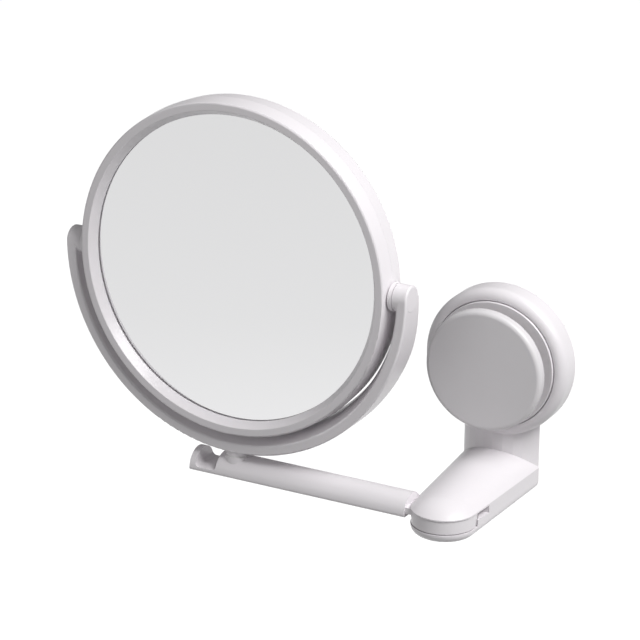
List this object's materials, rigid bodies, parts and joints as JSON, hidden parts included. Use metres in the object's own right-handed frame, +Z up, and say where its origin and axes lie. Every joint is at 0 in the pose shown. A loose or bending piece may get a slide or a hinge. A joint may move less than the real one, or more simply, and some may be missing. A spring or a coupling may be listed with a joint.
{
  "type": "wall-mounted swing-arm shaving mirror",
  "caption": "Round double-sided mirror in a tilting yoke on a swinging wall arm, held by a round twist-lock suction mount with a short forward bracket",
  "frame": {"origin": "centre of the suction mount's face on the wall", "axes": "+X to the right, -Y out of the wall towards the viewer, +Z up"},
  "size_m": [0.2417, 0.0794, 0.1949],
  "materials": {
    "white_plastic": "glossy moulded white plastic with a faint cool-pink cast",
    "knob_plastic": "satin-gloss moulded white plastic",
    "inner_plastic": "natural white moulded plastic",
    "pad_rubber": "soft clear-grey suction pad",
    "steel": "plated steel",
    "mirror_glass": "silvered glass",
    "backing_board": "grey backing board"
  },
  "bodies": {
    "mount": {"suction_pad": "pad_rubber", "guide_sleeve": "inner_plastic", "base_ring": "white_plastic", "face_plate": "white_plastic", "bracket": "white_plastic", "arm_pivot_pin": "steel", "pivot_cap": "white_plastic", "arm_washer": "inner_plastic"},
    "stem": {"pull_stem": "inner_plastic", "cross_pin": "steel"},
    "knob": {"locking_knob": "knob_plastic", "knob_back": "inner_plastic", "cam_ring": "inner_plastic"},
    "arm": {"swing_arm": "white_plastic", "yoke_washer": "inner_plastic"},
    "yoke_frame": {"yoke": "white_plastic", "yoke_screw": "steel", "left_pin": "steel", "right_pin": "steel", "left_washer": "white_plastic", "right_washer": "white_plastic"},
    "head": {"front_bezel": "white_plastic", "rear_shell": "white_plastic", "front_mirror": "mirror_glass", "centre_board": "backing_board", "rear_mirror": "mirror_glass"}
  },
  "joints": [
    {"name": "knob_twist", "type": "hinge", "parent": "mount", "child": "knob", "pos_m": [0, 0, 0], "axis": [0, -1, 0], "range_deg": [0, 90]},
    {"name": "stem_pull", "type": "slide", "parent": "mount", "child": "stem", "axis": [0, -1, 0], "range_m": [0, 0.0016]},
    {"name": "arm_swing", "type": "hinge", "parent": "mount", "child": "arm", "pos_m": [0, -0.0635, -0.059], "axis": [0, 0, 1], "range_deg": [0, 180]},
    {"name": "yoke_swivel", "type": "hinge", "parent": "arm", "child": "yoke_frame", "pos_m": [-0.1118, -0.0635, -0.05], "axis": [0, 0, 1], "range_deg": [-170, 170]},
    {"name": "mirror_tilt", "type": "hinge", "parent": "yoke_frame", "child": "head", "pos_m": [-0.1118, -0.0635, 0.0445], "axis": [1, 0, 0], "continuous": true}
  ],
  "couplings": [
    {"joint": "stem_pull", "follows": "knob_twist", "m_per_rad": 0.001}
  ]
}
